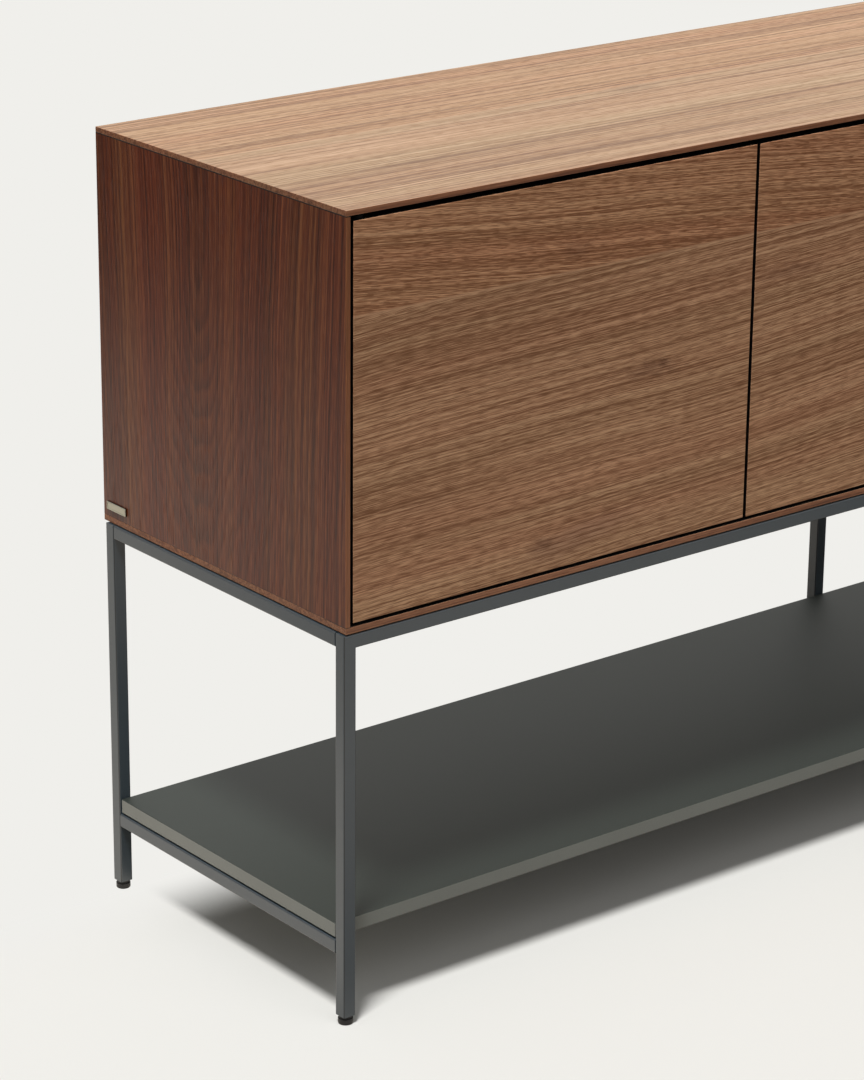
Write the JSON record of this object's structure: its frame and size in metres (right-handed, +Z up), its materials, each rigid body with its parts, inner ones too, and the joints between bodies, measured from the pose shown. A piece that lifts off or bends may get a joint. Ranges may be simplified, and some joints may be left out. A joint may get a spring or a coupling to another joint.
{
  "type": "office credenza",
  "caption": "Long low cabinet with flush handleless doors, resting on a slim square-tube frame with an open lower shelf.",
  "frame": {"origin": "centre of the footprint, on the floor", "axes": "+X along the length to the right seen from the front, -Y out of the doors, +Z up"},
  "size_m": [1.9802, 0.4006, 0.8],
  "materials": {
    "walnut_veneer": "satin lacquered walnut veneer",
    "walnut_door_veneer": "satin lacquered walnut veneer, grain level",
    "walnut_interior": "matt walnut veneer",
    "black_edge_band": "matt black",
    "beech": "raw",
    "grey_powder_coat": "fine satin powder coat",
    "grey_lacquer": "satin grey lacquered board",
    "black_nylon": "moulded",
    "grey_nylon": "moulded",
    "black_rubber": "matt",
    "champagne_metal": "brushed and anodised",
    "bare_steel": "machined",
    "black_steel": "black coated",
    "zinc_plated_steel": "zinc plated"
  },
  "bodies": {
    "cabinet": {"top_panel": "walnut_veneer", "bottom_panel": "walnut_veneer", "left_side_panel": "walnut_veneer", "right_side_panel": "walnut_veneer", "centre_divider": "walnut_interior", "left_back_panel": "walnut_interior", "right_back_panel": "walnut_interior", "carcass_edge_bands": "black_edge_band", "carcass_dowels": "beech", "shelf_pins": "zinc_plated_steel", "hinge_brackets": "black_steel", "hinge_washers": "black_nylon", "latch_housings": "grey_nylon", "wood_screws": "zinc_plated_steel", "front_top_rail": "grey_powder_coat", "rear_top_rail": "grey_powder_coat", "front_left_leg": "grey_powder_coat", "front_centre_leg": "grey_powder_coat", "front_right_leg": "grey_powder_coat", "rear_left_leg": "grey_powder_coat", "rear_centre_leg": "grey_powder_coat", "rear_right_leg": "grey_powder_coat", "upper_left_rail": "grey_powder_coat", "upper_centre_rail": "grey_powder_coat", "upper_right_rail": "grey_powder_coat", "lower_left_rail": "grey_powder_coat", "lower_centre_rail": "grey_powder_coat", "lower_right_rail": "grey_powder_coat", "rail_spigots": "bare_steel", "rail_set_screws": "zinc_plated_steel", "lower_shelf": "grey_lacquer", "frame_screws": "zinc_plated_steel", "frame_spacers": "black_nylon", "shelf_pads": "black_rubber", "leg_inserts": "black_nylon", "side_plate": "champagne_metal"},
    "door_1": {"door_1": "walnut_door_veneer", "door_1_pivot_pins": "zinc_plated_steel", "strike_plate_1": "zinc_plated_steel"},
    "plunger_1": {"latch_plunger_1": "grey_nylon"},
    "door_2": {"door_2": "walnut_door_veneer", "door_2_pivot_pins": "zinc_plated_steel", "strike_plate_2": "zinc_plated_steel"},
    "plunger_2": {"latch_plunger_2": "grey_nylon"},
    "door_3": {"door_3": "walnut_door_veneer", "door_3_pivot_pins": "zinc_plated_steel", "strike_plate_3": "zinc_plated_steel"},
    "plunger_3": {"latch_plunger_3": "grey_nylon"},
    "door_4": {"door_4": "walnut_door_veneer", "door_4_pivot_pins": "zinc_plated_steel", "strike_plate_4": "zinc_plated_steel"},
    "plunger_4": {"latch_plunger_4": "grey_nylon"},
    "front_left_foot": {"front_left_foot": "black_nylon"},
    "front_centre_foot": {"front_centre_foot": "black_nylon"},
    "front_right_foot": {"front_right_foot": "black_nylon"},
    "rear_left_foot": {"rear_left_foot": "black_nylon"},
    "rear_centre_foot": {"rear_centre_foot": "black_nylon"},
    "rear_right_foot": {"rear_right_foot": "black_nylon"},
    "left_interior_shelf": {"left_interior_shelf": "walnut_interior"},
    "right_interior_shelf": {"right_interior_shelf": "walnut_interior"}
  },
  "joints": [
    {"name": "door_1_pivot", "type": "hinge", "parent": "cabinet", "child": "door_1", "pos_m": [-0.9698, -0.1925, 0.59952], "axis": [0, 0, -1], "range_deg": [0, 105]},
    {"name": "latch_plunger_1_slide", "type": "slide", "parent": "cabinet", "child": "plunger_1", "axis": [0, 1, 0], "range_m": [0, 0.004], "stiffness_N_per_m": 300},
    {"name": "door_2_pivot", "type": "hinge", "parent": "cabinet", "child": "door_2", "pos_m": [-0.01105, -0.1925, 0.59952], "axis": [0, 0, 1], "range_deg": [0, 90]},
    {"name": "latch_plunger_2_slide", "type": "slide", "parent": "cabinet", "child": "plunger_2", "axis": [0, 1, 0], "range_m": [0, 0.004], "stiffness_N_per_m": 300},
    {"name": "door_3_pivot", "type": "hinge", "parent": "cabinet", "child": "door_3", "pos_m": [0.01105, -0.1925, 0.59952], "axis": [0, 0, -1], "range_deg": [0, 90]},
    {"name": "latch_plunger_3_slide", "type": "slide", "parent": "cabinet", "child": "plunger_3", "axis": [0, 1, 0], "range_m": [0, 0.004], "stiffness_N_per_m": 300},
    {"name": "door_4_pivot", "type": "hinge", "parent": "cabinet", "child": "door_4", "pos_m": [0.9698, -0.1925, 0.59952], "axis": [0, 0, 1], "range_deg": [0, 105]},
    {"name": "latch_plunger_4_slide", "type": "slide", "parent": "cabinet", "child": "plunger_4", "axis": [0, 1, 0], "range_m": [0, 0.004], "stiffness_N_per_m": 300},
    {"name": "front_left_foot_screw", "type": "slide", "parent": "cabinet", "child": "front_left_foot", "axis": [0, 0, -1], "range_m": [0, 0.008]},
    {"name": "front_centre_foot_screw", "type": "slide", "parent": "cabinet", "child": "front_centre_foot", "axis": [0, 0, -1], "range_m": [0, 0.008]},
    {"name": "front_right_foot_screw", "type": "slide", "parent": "cabinet", "child": "front_right_foot", "axis": [0, 0, -1], "range_m": [0, 0.008]},
    {"name": "rear_left_foot_screw", "type": "slide", "parent": "cabinet", "child": "rear_left_foot", "axis": [0, 0, -1], "range_m": [0, 0.008]},
    {"name": "rear_centre_foot_screw", "type": "slide", "parent": "cabinet", "child": "rear_centre_foot", "axis": [0, 0, -1], "range_m": [0, 0.008]},
    {"name": "rear_right_foot_screw", "type": "slide", "parent": "cabinet", "child": "rear_right_foot", "axis": [0, 0, -1], "range_m": [0, 0.008]},
    {"name": "left_interior_shelf_lift", "type": "slide", "parent": "cabinet", "child": "left_interior_shelf", "axis": [0, 0, 1], "range_m": [0, 0.03]},
    {"name": "right_interior_shelf_lift", "type": "slide", "parent": "cabinet", "child": "right_interior_shelf", "axis": [0, 0, 1], "range_m": [0, 0.03]}
  ]
}
